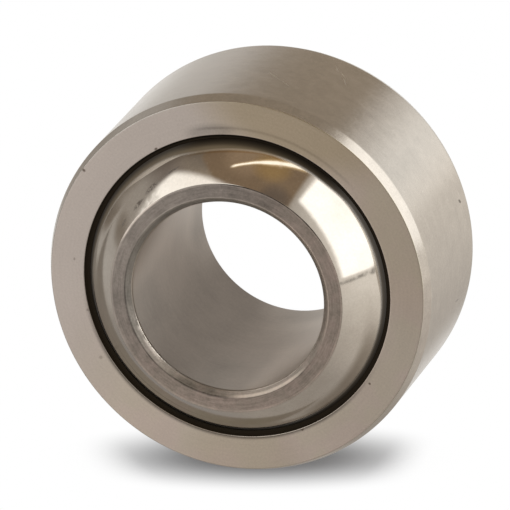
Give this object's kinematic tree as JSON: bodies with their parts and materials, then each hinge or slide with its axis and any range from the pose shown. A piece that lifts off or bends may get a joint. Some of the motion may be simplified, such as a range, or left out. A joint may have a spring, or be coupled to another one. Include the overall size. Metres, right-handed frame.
{
  "type": "spherical plain bearing",
  "caption": "Maintenance-free spherical plain bearing: a polished, bored ball that tilts and turns in a thin sliding liner, held in the spherical seat of a one-piece steel outer ring.",
  "frame": {"origin": "centre of the ball, which is also the centre of the outer ring and of the whole part", "axes": "+Z along the bore, towards the face that the picture shows; +X and +Y across it; the part stands on the ball's lower end face"},
  "size_m": [0.032, 0.032, 0.021],
  "materials": {
    "ground_ring_steel": "fine-ground bearing steel, satin, with faint grinding lines round the axis",
    "liner_fabric": "dull dark olive-brown low-friction liner, bonded in the seat",
    "polished_ball_steel": "mirror-polished spherical surface, with satin-ground end faces and bore"
  },
  "bodies": {
    "inner": {"ball": "polished_ball_steel"},
    "lining": {"sliding_liner": "liner_fabric"},
    "outer": {"outer_ring": "ground_ring_steel"}
  },
  "joints": [
    {"name": "tilt", "type": "hinge", "parent": "inner", "child": "lining", "pos_m": [0, 0, 0], "axis": [1, 0, 0], "range_deg": [-15, 15]},
    {"name": "turn", "type": "hinge", "parent": "lining", "child": "outer", "pos_m": [0, 0, 0], "axis": [0, 0, 1], "continuous": true}
  ]
}
